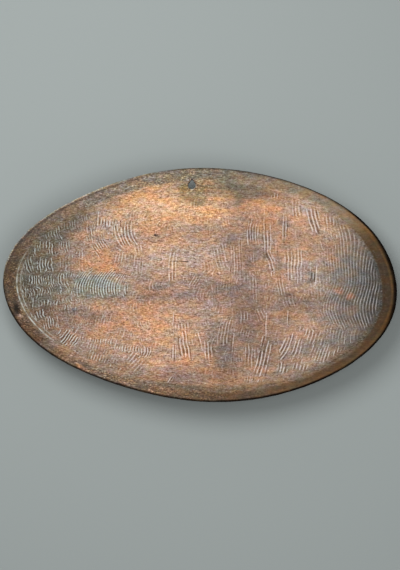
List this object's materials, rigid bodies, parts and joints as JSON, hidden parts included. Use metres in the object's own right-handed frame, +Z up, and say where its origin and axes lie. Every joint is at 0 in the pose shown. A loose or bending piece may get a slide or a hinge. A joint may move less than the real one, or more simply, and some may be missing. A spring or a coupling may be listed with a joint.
{
  "type": "carved wooden dish",
  "caption": "Shallow egg-shaped dish carved from one block of wood, with a fluted hollow, a plain smooth rim, a flat underside and a hanging hole near the rim.",
  "frame": {"origin": "in the flat resting face, under the middle of the dish's bounding box", "axes": "+X along the dish towards its blunt end, +Y across it towards the side with the hanging hole, +Z up out of the hollow"},
  "size_m": [0.52, 0.31, 0.062],
  "materials": {
    "carved_wood": "hand-carved hardwood, fluted hollow, worn satin rim, dry grey film in the flutes"
  },
  "bodies": {
    "root": {"bowl": "carved_wood"}
  },
  "joints": []
}
